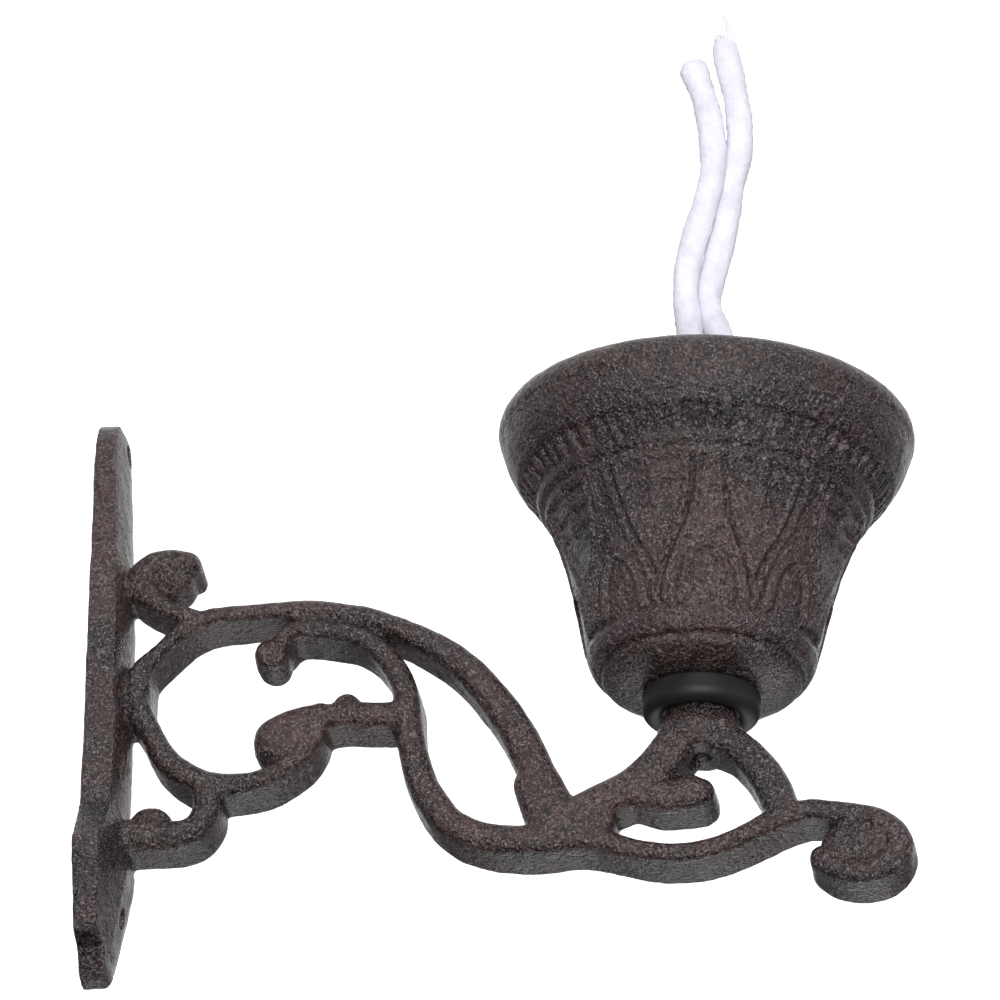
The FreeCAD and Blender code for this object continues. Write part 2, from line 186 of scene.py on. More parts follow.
def roughen(obj, size, height, depth=2):
    """Push a surface in and out by a cloud pattern with lumps of this size."""
    displace = obj.modifiers.new("rough", "DISPLACE")
    displace.texture = cloud(obj.name + "_lumps", size, depth)
    displace.texture_coords = "LOCAL"
    displace.strength = height
    displace.mid_level = 0.5


# ---- materials --------------------------------------------------------------------------------
class Nodes:
    """Short calls for building a node material."""

    def __init__(self, name):
        self.material = bpy.data.materials.new(name)
        self.material.use_nodes = True
        self.tree = self.material.node_tree
        self.shader = self.tree.nodes["Principled BSDF"]
        self.place = self.tree.nodes.new("ShaderNodeTexCoord").outputs["Object"]

    def link(self, source, target):
        self.tree.links.new(source, target)

    def noise(self, scale, detail=3, rough=0.5, place=None, distortion=0):
        node = self.tree.nodes.new("ShaderNodeTexNoise")
        node.inputs["Scale"].default_value = scale
        node.inputs["Detail"].default_value = detail
        node.inputs["Roughness"].default_value = rough
        node.inputs["Distortion"].default_value = distortion
        self.link(place or self.place, node.inputs["Vector"])
        return node.outputs["Fac"]

    def ramp(self, source, stops):
        node = self.tree.nodes.new("ShaderNodeValToRGB")
        elements = node.color_ramp.elements
        while len(elements) < len(stops):
            elements.new(0.5)
        for element, (where, colour) in zip(elements, stops):
            element.position = where
            element.color = (*colour, 1) if len(colour) == 3 else colour
        self.link(source, node.inputs["Fac"])
        return node.outputs["Color"]

    def level(self, source, low, high, to_low=0, to_high=1):
        node = self.tree.nodes.new("ShaderNodeMapRange")
        node.inputs["From Min"].default_value = low
        node.inputs["From Max"].default_value = high
        node.inputs["To Min"].default_value = to_low
        node.inputs["To Max"].default_value = to_high
        self.link(source, node.inputs["Value"])
        return node.outputs["Result"]

    def mix(self, factor, a, b, blend="MIX"):
        node = self.tree.nodes.new("ShaderNodeMix")
        node.data_type = "RGBA"
        node.blend_type = blend
        for value, socket in ((factor, 0), (a, 6), (b, 7)):
            if isinstance(value, (int, float)):
                node.inputs[socket].default_value = value
            elif isinstance(value, tuple):
                node.inputs[socket].default_value = (*value, 1)
            else:
                self.link(value, node.inputs[socket])
        return node.outputs[2]

    def bump(self, height, strength, distance, below=None):
        node = self.tree.nodes.new("ShaderNodeBump")
        node.inputs["Strength"].default_value = strength
        node.inputs["Distance"].default_value = distance
        self.link(height, node.inputs["Height"])
        if below:
            self.link(below, node.inputs["Normal"])
        return node.outputs["Normal"]

    def set(self, **values):
        for name, value in values.items():
            socket = self.shader.inputs[name.replace("_", " ")]
            if hasattr(value, "is_linked"):
                self.link(value, socket)
            else:
                socket.default_value = value


def cast_iron(name, dark, mid, light, pale_and_glint):
    """Sand-cast iron under a dark brown finish, paler where it is rubbed and on its grains; the pale
    specks and high points are partly painted highlight glints, and the hollows get painted shade.
    """
    m = Nodes(name)
    patches = m.noise(48, 4, 0.6)
    grains = m.noise(1250, 3, 0.6)
    specks = m.noise(2600, 2, 0.5)
    colour = m.ramp(patches, [(0.36, dark), (0.5, mid), (0.64, light)])
    # pale specks: grain colour, partly painted highlight glints
    colour = m.mix(m.level(specks, 0.5, 0.7, 0, 0.6), colour, pale_and_glint)
    colour = m.mix(m.level(grains, 0.5, 0.36, 0, 0.9), colour, tuple(0.25 * c for c in dark))
    pointy = m.tree.nodes.new("ShaderNodeNewGeometry").outputs["Pointiness"]
    # high points paler: rubbed wear, partly a painted highlight
    worn = m.level(pointy, 0.53, 0.60, 0, 0.35)
    colour = m.mix(worn, colour, pale_and_glint)
    # painted shade: darker in the hollows
    painted_hollow_shade = m.level(pointy, 0.49, 0.43, 0, 0.8)
    colour = m.mix(painted_hollow_shade, colour, tuple(0.3 * c for c in dark))
    m.set(Base_Color=colour, Roughness=m.level(patches, 0.35, 0.7, 0.22, 0.34), Metallic=0.0)
    m.shader.inputs["Specular IOR Level"].default_value = 0.5
    coarse = m.bump(m.noise(380, 3, 0.55), 0.7, 0.0008)
    fine = m.bump(grains, 1.0, 0.0007, coarse)
    m.set(Normal=m.bump(specks, 0.8, 0.00025, fine))
    return m.material


def rubber():
    m = Nodes("black_rubber_look")
    dust = m.noise(160, 4, 0.6)
    m.set(Base_Color=m.ramp(dust, [(0.35, (0.006, 0.006, 0.007)), (0.7, (0.014, 0.014, 0.016))]))
    m.set(Roughness=m.level(dust, 0.3, 0.7, 0.5, 0.62))
    m.shader.inputs["Specular IOR Level"].default_value = 0.3
    m.set(Normal=m.bump(m.noise(1400, 2), 0.15, 0.0001))
    return m.material


def zinc():
    m = Nodes("zinc_look")
    tone = m.noise(260, 4, 0.6)
    m.set(Base_Color=m.ramp(tone, [(0.3, (0.42, 0.42, 0.43)), (0.7, (0.66, 0.66, 0.65))]))
    m.set(Roughness=m.level(tone, 0.3, 0.7, 0.26, 0.44), Metallic=1.0)
    m.set(Normal=m.bump(m.noise(2200, 2), 0.2, 0.00008))
    return m.material


def cotton():
    m = Nodes("cotton_look")
    soft = m.noise(240, 4, 0.6)
    fibres = m.noise(3800, 4, 0.65, distortion=0.6)
    colour = m.ramp(soft, [(0.3, (0.68, 0.66, 0.76)), (0.6, (0.82, 0.805, 0.88))])
    colour = m.mix(m.level(fibres, 0.35, 0.6, 0.4, 0), colour, (0.54, 0.52, 0.62))
    m.set(Base_Color=colour, Roughness=m.level(fibres, 0.3, 0.7, 0.85, 1.0))
    m.shader.inputs["Specular IOR Level"].default_value = 0.1
    m.shader.inputs["Sheen Weight"].default_value = 0.25
    m.shader.inputs["Sheen Roughness"].default_value = 0.6
    m.set(Normal=m.bump(fibres, 0.7, 0.00025, m.bump(soft, 0.4, 0.0006)))
    return m.material


IRON_DARK, IRON_MID, IRON_LIGHT = (0.004, 0.0027, 0.0029), (0.023, 0.0094, 0.0088), (0.039, 0.0155, 0.014)
# pale colour for rubbed spots and specks, partly a painted highlight
IRON_PALE_AND_GLINT = (0.24, 0.2, 0.205)
ARM_IRON = cast_iron("arm_iron_look", IRON_DARK, IRON_MID, IRON_LIGHT, IRON_PALE_AND_GLINT)
BELL_IRON = cast_iron("bell_iron_look", IRON_DARK, IRON_MID, IRON_LIGHT, IRON_PALE_AND_GLINT)
RUBBER, ZINC, COTTON = rubber(), zinc(), cotton()


def dress(obj, material):
    obj.data.materials.clear()
    obj.data.materials.append(material)


def dress_node(name, material):
    """Give a CAD node's own object a finished material."""
    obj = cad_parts[name]
    for slot in obj.material_slots:
        slot.material = material


# ---- cord -------------------------------------------------------------------------------------
RING_X = 0.00325                           # half the distance between the cord's sides at its turn
BIGHT_Z = -0.0614
BIGHT_OVER = math.radians(18)              # how far the turn goes on past a half turn, on the right
LEFT_TAIL = [
    (BELL_X - RING_X, 0, BIGHT_Z), (BELL_X - RING_X, 0.0003, -0.0665), (0.1056, 0.0016, -0.0735),
    (0.1061, 0.0012, -0.081), (0.1082, 0.001, -0.0895), (0.1106, 0.0019, -0.0975),
    (0.11, 0.0007, -0.1065), (0.1083, 0, -0.115), (0.1058, 0, -0.1215),
]
RIGHT_TAIL = [
    (0.11309, 0, -0.0624), (0.11148, -0.0003, -0.06735), (0.109, -0.0018, -0.0735),
    (0.1109, -0.0014, -0.0815), (0.1128, -0.001, -0.0895), (0.1132, -0.0019, -0.0975),
    (0.1153, -0.0007, -0.1055), (0.1138, 0, -0.117), (0.1111, 0, -0.127),
]
CORD_D = 0.0042
SOFT_SKIN = 1.14                           # how far the soft surface stands out, as a share of the radius


def nurbs_points(name, route):
    """Points along the smooth line of a route."""
    curve = bpy.data.curves.new(name, "CURVE")
    curve.dimensions = "3D"
    curve.resolution_u = 24
    spline = curve.splines.new("NURBS")
    spline.points.add(len(route) - 1)
    for point, place in zip(spline.points, route):
        point.co = (*place, 1)
    spline.order_u = 3
    spline.use_endpoint_u = True
    line = bpy.data.objects.new(name, curve)
    bpy.context.scene.collection.objects.link(line)
    mesh = bpy.data.meshes.new_from_object(line.evaluated_get(bpy.context.evaluated_depsgraph_get()))
    points = np.array([v.co[:] for v in mesh.vertices])
    bpy.data.objects.remove(line)
    return points


def even_points(points, step):
    """The same line with points at even steps."""
    gaps = np.linalg.norm(np.diff(points, axis=0), axis=1)
    t = np.concatenate([[0], np.cumsum(gaps)])
    s = np.linspace(0, t[-1], int(t[-1] / step) + 1)
    return np.stack([np.interp(s, t, points[:, i]) for i in range(3)], 1)


def tube_rings(points, radius, sides=28):
    """Rings round a line; radius(share of the length, angles) gives each ring's radii."""
    tangents = np.gradient(points, axis=0)
    tangents /= np.linalg.norm(tangents, axis=1)[:, None]
    across = np.cross(tangents, (0, 1, 0))
    across /= np.linalg.norm(across, axis=1)[:, None]
    other = np.cross(across, tangents)
    angles = np.linspace(0, 2 * math.pi, sides, endpoint=False)
    rings = []
    for i, (p, a, b) in enumerate(zip(points, across, other)):
        r = radius(i / (len(points) - 1), angles)[:, None]
        rings.append(p + r * (np.cos(angles)[:, None] * a + np.sin(angles)[:, None] * b))
    return rings


def cotton_radius(end_shape, phase):
    """A soft knitted tube: ribs of stitches, uneven thickness, and its own end."""
    def radius(share, angles):
        uneven = 0.04 * math.sin(share * 19 + phase) + 0.03 * math.sin(share * 47 + 2 * phase)
        r = CORD_D / 2 * (SOFT_SKIN + uneven)
        stitches = 0.035 * np.cos(6 * angles) * math.cos(share * 210)
        stitches += 0.02 * np.cos(12 * angles + share * 60)
        return r * (1 + stitches) * end_shape(share, angles)
    return radius


def left_end(share, angles):
    """Flares slightly and ends in a ragged cut."""
    flare = 1 + 0.12 * max(0, (share - 0.9) / 0.1) ** 2
    return flare * (1 - 0.25 * max(0, (share - 0.985) / 0.015)) * np.ones_like(angles)


def right_end(share, angles):
    """Closes to a blunt point."""
    u = max(0, (share - 0.93) / 0.07)
    return math.sqrt(max(0.02, 1 - 0.96 * u * u)) * np.ones_like(angles)


def plain_end(share, angles):
    return np.ones_like(angles)


def tip_radius(share, angles):
    """A torn strand that narrows to a point."""
    return (0.0009 * (1 - share) ** 0.8 + 0.00008) * np.ones_like(angles)


def wisps(name, base, ahead, seed, tip_length):
    """Loose cotton fibres that leave a cord's end, and one longer torn strand beside them."""
    spread, count, length, thickness = 0.0013, 16, 0.0018, 0.0004
    rng = np.random.default_rng(seed)
    solids = []
    for _ in range(count):
        aside = np.array([rng.uniform(-1, 1), rng.uniform(-1, 1), rng.uniform(-0.3, 0.3)])
        start = base + aside * spread
        turn = np.array([rng.normal(), rng.normal(), rng.normal()]) * 0.35
        way = ahead + turn
        way /= np.linalg.norm(way)
        long = length * rng.uniform(0.4, 1)
        bend = np.array([rng.normal(), rng.normal(), rng.normal()]) * long * 0.25
        s = np.linspace(0, 1, 7)[:, None]
        line = start + way * long * s + bend * s * s
        radii = lambda share, angles: thickness * (1 - 0.8 * share) * np.ones_like(angles)
        solids.append(solid_of_rings(tube_rings(line, radii, 5)))
    s = np.linspace(0, 1, 24)[:, None]
    root = base - ahead * 0.004 + np.array([0.0015, 0, 0])
    line = root + (ahead + np.array([0.1, 0, 0]) * (1 - s)) * tip_length * s
    solids.append(solid_of_rings(tube_rings(line, tip_radius, 12)))
    verts, faces = joined(solids)
    piece = new_object(name, verts, faces)
    dress(piece, COTTON)
    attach(piece, "cord")
    return piece


def make_cord():
    turn = np.linspace(0, math.pi + BIGHT_OVER, 36)
    arc = np.stack([BELL_X - RING_X * np.cos(turn), 0 * turn, BIGHT_Z + RING_X * np.sin(turn)], 1)
    verts, faces = solid_of_rings(tube_rings(arc, cotton_radius(plain_end, 1.2)))
    bight = new_object("cord_turn", verts, faces)
    dress(bight, COTTON)
    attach(bight, "cord")
    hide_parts("cord_bight")
    sides = (("left", LEFT_TAIL, left_end, 0.4, 0.004), ("right", RIGHT_TAIL, right_end, 2.1, 0.0105))
    for side, route, end, phase, tip_length in sides:
        line = nurbs_points("route_" + side, route)
        points = even_points(line, 0.00035)
        verts, faces = solid_of_rings(tube_rings(points, cotton_radius(end, phase)))
        tail = new_object("cord_" + side, verts, faces)
        roughen(tail, 0.0016, 0.00035, 3)
        dress(tail, COTTON)
        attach(tail, "cord")
        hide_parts("cord_tail_" + side)
        ahead = points[-1] - points[-6]
        ahead /= np.linalg.norm(ahead)
        tuft = wisps("cord_fray_" + side, points[-4], ahead, len(side), tip_length)


make_cord()

# ---- bracket casting --------------------------------------------------------------------------
# The scrolls' middle lines in the plane Y = 0, as (x, z, width) in millimetres.
MAIN_ARCH = [
    (8.6, 2.5, 5.4), (9.6, -1.2, 4), (12.6, -4.3, 3), (15.3, -7.2, 3), (18.5, -9.6, 3.2),
    (22.5, -11, 3.2), (27.5, -11.4, 3.2), (33, -11.6, 3.3), (39, -11.6, 3.6), (45.5, -10.8, 3.9),
    (52, -9, 4.2), (58.2, -6.2, 4.6), (63.8, -2.8, 5.2), (68.5, 1.2, 5.8), (72.5, 6, 6.2),
    (76, 11, 6.4), (79, 16.6, 6.8), (81.4, 22.2, 7), (83.8, 27.8, 8), (86, 32.5, 8),
]
OVAL_AND_COMMA = [
    (8.6, 2.5, 5.4), (9, 6.4, 5), (11.2, 11, 4.4), (13.5, 15.5, 4.8), (16.9, 19.2, 5),
    (21, 21.6, 5), (25.5, 22.5, 4.6), (30, 22.1, 4), (34.4, 20.5, 3.8), (38, 17.8, 3.8),
    (40.5, 14.6, 3.8), (41.2, 11.4, 3.6), (39, 9.7, 3.2),
]
LOWER_CURL = [
    (19, -10.7, 3.2), (15, -12.3, 3.4), (11.2, -14.7, 4.4), (8.6, -18.4, 6), (10.2, -21.6, 5),
    (14, -22.6, 4.4), (17.2, -22, 4.4),
]
UPPER_CURL = [(21, 22, 5), (22.1, 27, 5.6), (19.5, 31, 5.4), (15, 31.8, 5.8), (6, 31.4, 6.6)]
INNER_CURL = [
    (34.6, -5.4, 3.4), (36.3, -7.4, 3.3), (40.5, -7.7, 3.8), (45.2, -7, 3.9), (49.8, -5.2, 4),
    (53.6, -1.8, 4.2), (56.5, 3, 4.6), (57.7, 8, 5), (58.1, 13, 5.2), (59.3, 19, 5.5),
    (61.5, 25, 5.8), (65, 30.2, 5.8),
]
LOWER_SWEEP = [
    (61.5, 25, 5.8), (65, 30.2, 5.8), (70.4, 33.8, 5.8), (76.5, 35.2, 5.8), (83, 35.2, 6.2),
    (90, 35.1, 5.6), (97, 37.4, 4.2), (104.5, 38.9, 3.8), (112, 38.5, 3.8), (118, 36.3, 4),
    (123.5, 33.5, 4.4), (129, 31.5, 4.2),
]
END_CURL = [
    (123.5, 33.5, 4.4), (129, 31.5, 4.2), (134.5, 31.9, 4), (140, 32.8, 4.2), (144.2, 35, 4.8),
    (146.3, 38.4, 5.2), (144.8, 41.8, 5.2), (140.5, 43.6, 5), (135.5, 43, 5), (133, 41, 5.4),
]
MIDDLE_BAR = [(42.5, 10, 4.4), (46, 9.2, 5.4), (50, 9.5, 5.2), (57, 9.8, 5.4)]
RING_LEFT = [(107.2, 15.4, 7.6), (103.2, 20.8, 7.6), (98.8, 25.1, 7.2), (93.5, 27.6, 6.4), (88, 31, 7)]
RING_RIGHT = [(112, 15.2, 6.6), (117.3, 18.2, 6), (121, 22.2, 6.4), (123.5, 26.3, 6.8), (125.4, 31, 6.4)]
RING_COMMA = [(98, 26, 5.2), (102, 27.3, 6), (106, 27.5, 6.4), (110.2, 27.2, 6.2)]
COMMA_HEAD = [(34.8, 13.7, 9.6), (38, 11.6, 8.4), (41.8, 9.4, 5.4)]
WEB = [(80, 24.5, 6), (83.5, 30, 9), (87.5, 32.5, 10.5), (91, 32, 9)]
# The round heads and lumps of the scrolls, as x, z, radius.
KNOBS = [
    (32.6, -3.5, 3.2), (35, 13.8, 5.2), (137.6, 38.6, 5.8), (141.6, 38, 3.6), (14.4, -19.8, 3.7),
    (46.6, 7.5, 2.7), (11.9, 29.8, 4.2), (108.3, 26.7, 3.8),
]
ARM_HALF_T = 6.0
KNOB_HALF_T = 5.2


def bar(line, half_t=ARM_HALF_T, corner=2.3):
    """One scroll: a bar with rounded edges and ends that follows a line, thinner towards its faces."""
    rows = smooth_line(line, 0.8)
    middle, half_w = rows[:, :2], rows[:, 2] / 2
    way = np.gradient(middle, axis=0)
    way /= np.linalg.norm(way, axis=1)[:, None]
    turns = np.linspace(math.pi / 2, 0, 7)[:-1]
    before = [
        (middle[0] - way[0] * half_w[0] * math.sin(a), way[0], half_w[0] * math.cos(a), a) for a in turns
    ]
    after = [
        (middle[-1] + way[-1] * half_w[-1] * math.sin(a), way[-1], half_w[-1] * math.cos(a), a)
        for a in turns[::-1]
    ]
    stations = before + [(p, w, h, 0) for p, w, h in zip(middle, way, half_w)] + after
    rings = []
    for place, ahead, wide, cap in stations:
        wide = max(wide, 0.15)
        high = half_t - corner * (1 - math.cos(cap)) * 0.8
        r = min(corner, 0.85 * wide)
        ring = []
        for quarter, (su, sv) in enumerate(((1, 1), (-1, 1), (-1, -1), (1, -1))):
            for k in range(5):
                a = math.pi / 2 * (quarter + k / 4)
                u = su * (wide - r) + r * math.cos(a)
                v = sv * (high - r) + r * math.sin(a)
                u *= 1 - 0.06 * abs(v) / half_t
                ring.append((place[0] - ahead[1] * u, v, place[1] + ahead[0] * u))
        rings.append(ring)
    return solid_of_rings(np.array(rings) * MM)


def knob(x, z, radius):
    """The round head of a curl: a thick disc with a rounded rim and slightly domed faces."""
    angles = np.linspace(0, 2 * math.pi, 32, endpoint=False)
    rings = []
    for a in np.linspace(-math.pi / 2, math.pi / 2, 17):
        y = KNOB_HALF_T * math.copysign(abs(math.sin(a)) ** 0.7, math.sin(a))
        r = max(0.1, radius * math.cos(a) ** 0.45)
        rings.append([(x + r * math.cos(t), y, z + r * math.sin(t)) for t in angles])
    return solid_of_rings(np.array(rings) * MM)


def turned(profile, sides=48):
    """A solid of (radius, z) rings about the bell's axis."""
    angles = np.linspace(0, 2 * math.pi, sides, endpoint=False)
    return solid_of_rings([
        [(BELL_X + r * MM * math.cos(t), r * MM * math.sin(t), z * MM) for t in angles]
        for r, z in profile
    ])


def strap():
    """The plate's long strip, with rounded ends and an arched front."""
    rings = []
    bottom_end, straight, top_end = (
        np.linspace(-51.2, -42.2, 16), np.arange(-41, 50, 1.5), np.linspace(50.5, 58.95, 16)
    )
    for z in np.concatenate([bottom_end, straight, top_end]):
        half_w = 9.0
        if z < -42.2:
            half_w = max(0.8, math.sqrt(max(0, 81 - (z + 42.2) ** 2)))
        if z > 50.5:
            half_w = min(9 - (z - 50.5) * 0.76, math.sqrt(max(0.5, 6.66**2 - (z - 52.34) ** 2)))
        edge = np.interp(z, (-51, -30, -10, 15, 35, 60), (3.2, 4.2, 5, 5.6, 5.2, 3.7))
        middle = np.interp(z, (-51, -30, -10, 15, 35, 60), (4.4, 5.8, 6.9, 7.4, 7.2, 4.9))
        end = max(0.0, (-48.2 - z) / 3, (z - 56) / 3)
        edge *= 1 - 0.35 * end**2
        middle *= 1 - 0.35 * end**2
        ring = [(0, -half_w, z), (0, half_w, z)]
        for y in np.linspace(half_w, -half_w, 19):
            ring.append((edge + (middle - edge) * (1 - (y / 9) ** 2), y, z))
        rings.append(ring)
    return solid_of_rings(np.array(rings) * MM)


def lobe():
    """The wider faceted part of the plate, thickest at its shoulders."""
    sections = (                           # height, half width, edge thickness, middle thickness
        (27, 9, 5.4, 7.2), (36.8, 16, 4.9, 8.2), (39.8, 16, 4.9, 8), (52.5, 10.5, 3.9, 5.8),
        (53.8, 7.5, 3.8, 5.6),
    )
    rings = []
    for z, w, edge, middle in sections:
        flat = 4 * middle / 8.2
        rings.append([
            (0, -w, z), (0, w, z), (edge, w, z), (middle, flat, z), (middle, -flat, z), (edge, -w, z)
        ])
    return solid_of_rings(np.array(rings) * MM)


def drilled(obj, holes):
    """Cut round holes, each (place, direction, radius, length), through an object."""
    solids = []
    for place, way, radius, length in holes:
        a = Vector(way).normalized()
        b = a.orthogonal().normalized()
        c = a.cross(b)
        angles = np.linspace(0, 2 * math.pi, 40, endpoint=False)
        rings = [
            [Vector(place) + a * s + (b * math.cos(t) + c * math.sin(t)) * radius for t in angles]
            for s in (0, length)
        ]
        solids.append(solid_of_rings([[tuple(p) for p in ring] for ring in rings]))
    verts, faces = joined(solids)
    cutter = new_object("cutter", verts, faces, smooth=False)
    cut = obj.modifiers.new("holes", "BOOLEAN")
    cut.operation = "DIFFERENCE"
    cut.solver = "EXACT"
    cut.object = cutter
    apply_modifiers(obj)
    bpy.data.objects.remove(cutter)


def make_bracket():
    scrolls = (MAIN_ARCH, OVAL_AND_COMMA, LOWER_CURL, UPPER_CURL, INNER_CURL, LOWER_SWEEP, END_CURL,
               MIDDLE_BAR, RING_LEFT, RING_RIGHT, RING_COMMA, COMMA_HEAD, WEB)
    boss = turned([(6.25, 10), (6.5, 10.8), (7.7, 13.6), (8, 14.5), (7.2, 16.6), (6, 18.2)])
    solids = [bar(line) for line in scrolls] + [knob(*k) for k in KNOBS] + [boss, strap(), lobe()]
    verts, faces = joined(solids)
    casting = new_object("bracket", verts, faces)
    remesh = casting.modifiers.new("one_skin", "REMESH")
    remesh.mode = "VOXEL"
    remesh.voxel_size = 0.00045
    soften = casting.modifiers.new("soften", "SMOOTH")
    soften.factor = 0.5
    soften.iterations = 3
    apply_modifiers(casting)
    roughen(casting, 0.006, 0.0005, 1)
    roughen(casting, 0.0022, 0.00028, 2)
    roughen(casting, 0.0009, 0.00012, 2)
    apply_modifiers(casting)
    drilled(casting, [
        ((-0.002, 0, -0.046), (1, 0, 0), 0.0021, 0.02), ((-0.002, 0, 0.046), (1, 0, 0), 0.0021, 0.02),
        ((BELL_X, 0, 0.0095), (0, 0, 1), 0.00203, 0.0135),
    ])
    keep_outside_wall(casting)
    dress(casting, ARM_IRON)
    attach(casting, "bracket")
    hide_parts("bracket_casting")


def keep_outside_wall(obj):
    """Hold a rough surface inside the CAD model's box."""
    lo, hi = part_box("bracket_casting")
    count = len(obj.data.vertices)
    co = np.empty(count * 3)
    obj.data.vertices.foreach_get("co", co)
    co = np.clip(co.reshape(-1, 3), np.array(lo), np.array(hi))
    obj.data.vertices.foreach_set("co", co.ravel())
    obj.data.update()


make_bracket()

# ---- bell -------------------------------------------------------------------------------------
# The outer profile as (radius, z) in millimetres, from above the lip to the crown.
BELL_OUTSIDE = [
    (36.9, -42.9), (35.2, -38.5), (31.6, -33.5), (28.4, -28.5), (26.1, -23.5), (24.35, -18.5),
    (23.1, -13.5), (22.1, -8.5), (21.1, -3.5), (20.0, 0.6), (17.6, 3.6), (14.8, 5.2), (11.4, 6.0),
]
BELL_INSIDE = [
    (32.0, -47.2), (28.2, -34.3), (25.2, -29.3), (23.0, -24.3), (21.4, -19.3), (20.1, -14.3),
    (19.0, -9.3), (17.9, -4.3), (16.6, -0.2), (12.0, 2.0),
]
ARCHES = 8
TEETH = 64


def bell_shape(z, around):
    """Height in millimetres of the cast pattern, at heights z and angles from the front arch."""
    def ridge(centre, width, height):
        return height * np.exp(-(((z - centre) / width) ** 2))

    def between(low, high, soft=0.35):
        return 1 / (1 + np.exp(-(z - low) / soft)) / (1 + np.exp((z - high) / soft))

    radius = np.interp(z[:, 0], [p[1] for p in BELL_OUTSIDE], [p[0] for p in BELL_OUTSIDE])[:, None]
    sector = 2 * math.pi / ARCHES
    local = (around + sector / 2) % sector - sector / 2
    across = np.abs(local) * radius
    to_next = (sector / 2 - np.abs(local)) * radius

    def rib(distance, width, height):
        return height * np.exp(-((distance / width) ** 2))

    h = ridge(-36.2, 0.7, 0.12) - ridge(-35.3, 0.6, 0.2)
    teeth = np.cos(TEETH * around + 0.7 * np.sin(11 * around) + 0.5 * np.sin(23 * around))
    worn = 0.75 + 0.25 * np.sin(7 * around + 1) * np.sin(16 * around)
    h = h + between(-35.2, -32.2, 0.3) * worn * (0.4 * np.clip(teeth * 1.6 + 0.1, -1, 1) - 0.3)
    h = h + ridge(-30.8, 1.0, 0.22) - ridge(-32, 0.5, 0.18)
    h = h - ridge(-29.5, 0.5, 0.2) + ridge(-28.6, 0.6, 0.14)
    # the tall arches: a narrow neck that opens to a wide foot
    half = np.interp(
        z, (-29, -24, -20.5, -18, -15.5, -13, -10, -6, -2.4), (1.8, 1.9, 2.3, 2.9, 3.9, 5.1, 6.3, 7.3, 7.7)
    )
    on = between(-28.3, -2.4, 0.35)
    h = h + on * (rib(across - half, 0.75, 0.44) + rib(across - half - 2.1, 0.7, 0.34))
    h = h - on * rib(across - half - 1.05, 0.5, 0.42)
    # ribs between the arches, with slots either side
    upper = between(-28.3, -20.3, 0.35)
    h = h + upper * rib(to_next, 0.9, 0.42)
    beside = 1 / (1 + np.exp(-(across - half - 1.7) / 0.35)) / (1 + np.exp(-(to_next - 1.1) / 0.35))
    for slot in (-27.1, -23.7, -20.3):
        h = h - beside * upper * 0.32 * np.exp(-(((z - slot) / 0.55) ** 2))
    # the small round arches
    foot, top, wide = -2.5, -12.8, 4.6
    rise = np.clip((foot - z) / (foot - top), 0, 1.6)
    small = wide * np.sqrt(np.clip(1 - rise**2.6, 0, 1))
    inside = (z > top) * (z < foot)
    to_line = np.where(inside, np.abs(across - small), np.hypot(across, z - top))
    low = (z > top - 1.4) * (z < foot + 0.8)
    h = h + low * rib(to_line, 0.7, 0.4) - low * rib(to_line - 1.3, 0.6, 0.18)
    h = h - between(-12.4, -2.8, 0.3) / (1 + np.exp((across - small + 0.9) / 0.25)) * 0.25
    # the band above the arches, and the step to the dome
    h = h - ridge(-2.1, 0.7, 0.4) + between(-1.4, 2.2) * 0.1 - ridge(2.7, 0.6, 0.55) + ridge(3.7, 0.5, 0.2)
    return h


def make_bell():
    columns = 720
    towards = math.atan2(math.cos(CAMERA_YAW), math.sin(CAMERA_YAW))
    around = np.linspace(0, 2 * math.pi, columns, endpoint=False)
    outside = smooth_line(BELL_OUTSIDE, 0.26)
    lip_r = 3.5
    lip = []
    for a in np.linspace(-math.pi * 0.62, math.radians(34), 22)[:-1]:
        lip.append((33.9 + lip_r * math.cos(a), -44.9 + lip_r * math.sin(a)))
    inside = smooth_line(BELL_INSIDE, 0.9)[::-1]
    crown = [(r, 6.0) for r in (10.6, 9, 7, 5, 3.4, 2.5)] + [(r, 2.0) for r in (2.5, 5, 8, 11)]
    profile = np.concatenate([lip, outside, crown, inside[1:]])
    count = len(profile)
    r, z = profile[:, :1], profile[:, 1:]
    height = np.zeros((count, columns))
    first, last = len(lip), len(lip) + len(outside)
    height[first:last] = bell_shape(z[first:last] + 0 * around[None], around[None] - towards)
    slope = np.gradient(profile, axis=0)
    normal = np.stack([slope[:, 1], -slope[:, 0]], 1)
    normal /= np.linalg.norm(normal, axis=1)[:, None]
    r = r + height * normal[:, :1]
    z = z + height * normal[:, 1:]
    x = BELL_X + r * MM * np.cos(around)
    y = r * MM * np.sin(around)
    verts = np.stack([x, y, z * MM + 0 * x], 2).reshape(-1, 3)
    piece = new_object("bell_shell", verts, grid_faces(count, columns, closed_rows=True))
    roughen(piece, 0.004, 0.0003, 1)
    roughen(piece, 0.0011, 0.00014, 2)
    dress(piece, BELL_IRON)
    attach(piece, "bracket")
    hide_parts("bell")


make_bell()

# ---- parts that keep their CAD shape ----------------------------------------------------------
dress_node("rubber_cup_washer", RUBBER)
for node in ("eye_bolt", "flat_washer", "spring_washer", "lock_nut", "clapper_link", "clapper_rod"):
    dress_node(node, ZINC)
dress_node("clapper_ball", BELL_IRON)


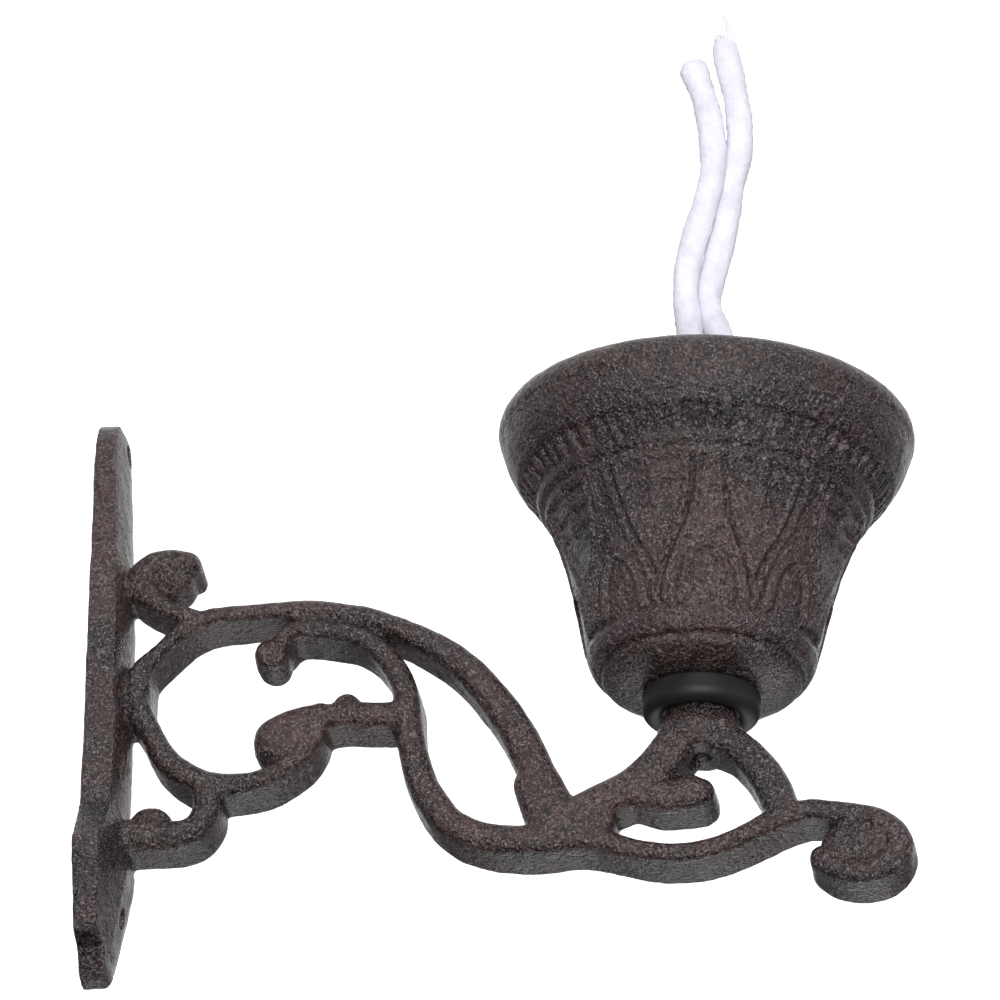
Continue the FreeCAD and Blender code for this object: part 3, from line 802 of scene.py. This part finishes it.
# ---- floor and light --------------------------------------------------------------------------
def make_floor():
    """A pale floor that glows: a painted pool of light behind the object, as a white table under a lamp
    has, fading to a faint glow elsewhere.
    """
    size = 12.0
    z = CAD_LO.z - 0.16
    glow_pool_centre, glow_pool_radius, glow_fade_radius = (0, -0.52, z), 0.3, 0.7
    corners = [(-size, -size, z), (size, -size, z), (size, size, z), (-size, size, z)]
    floor = new_object("floor", corners, [(0, 1, 2, 3)])
    m = Nodes("floor_look")
    tone = m.noise(1.2, 2)
    paint = m.ramp(tone, [(0.3, (0.90, 0.90, 0.895)), (0.7, (0.93, 0.93, 0.925))])
    m.set(Base_Color=paint, Roughness=0.9)
    m.shader.inputs["Specular IOR Level"].default_value = 0.1
    m.shader.inputs["Emission Color"].default_value = (1, 1, 1, 1)
    place = m.tree.nodes.new("ShaderNodeTexCoord").outputs["Object"]
    away = m.tree.nodes.new("ShaderNodeVectorMath")
    away.operation = "DISTANCE"
    m.link(place, away.inputs[0])
    away.inputs[1].default_value = glow_pool_centre
    # painted light: emission strongest round the pool's centre, fading to a faint glow outside it
    painted_light_glow = m.level(away.outputs["Value"], glow_pool_radius, glow_fade_radius, 1.0, 0.1)
    m.link(painted_light_glow, m.shader.inputs["Emission Strength"])
    dress(floor, m.material)


def softbox(name, place, aim, size, power, colour=(1, 1, 1)):
    data = bpy.data.lights.new(name, "AREA")
    data.shape = "RECTANGLE"
    data.size, data.size_y = size
    data.energy = power
    data.color = colour
    lamp = bpy.data.objects.new(name, data)
    lamp.location = place
    lamp.rotation_euler = (Vector(aim) - Vector(place)).to_track_quat("-Z", "Y").to_euler()
    bpy.context.scene.collection.objects.link(lamp)


def make_light():
    world = bpy.data.worlds.new("studio")
    world.use_nodes = True
    world.node_tree.nodes["Background"].inputs["Color"].default_value = (1, 1, 1, 1)
    world.node_tree.nodes["Background"].inputs["Strength"].default_value = 0.06
    bpy.context.scene.world = world
    centre = (0.075, 0, -0.03)
    softbox("front", (0.24, 1.02, 0.33), centre, (0.1, 0.7), 14)
    softbox("wall_side", (-1.0, 0.1, 0.1), centre, (0.4, 0.8), 1.4, (0.86, 0.86, 1))
    softbox("outer_side", (1.15, 0.05, 0.1), centre, (0.4, 0.8), 1.4, (0.86, 0.86, 1))
    softbox("behind", (0.1, -1.2, 0.5), centre, (0.8, 0.6), 4)
    bpy.context.scene.view_settings.view_transform = "Standard"


make_floor()
make_light()
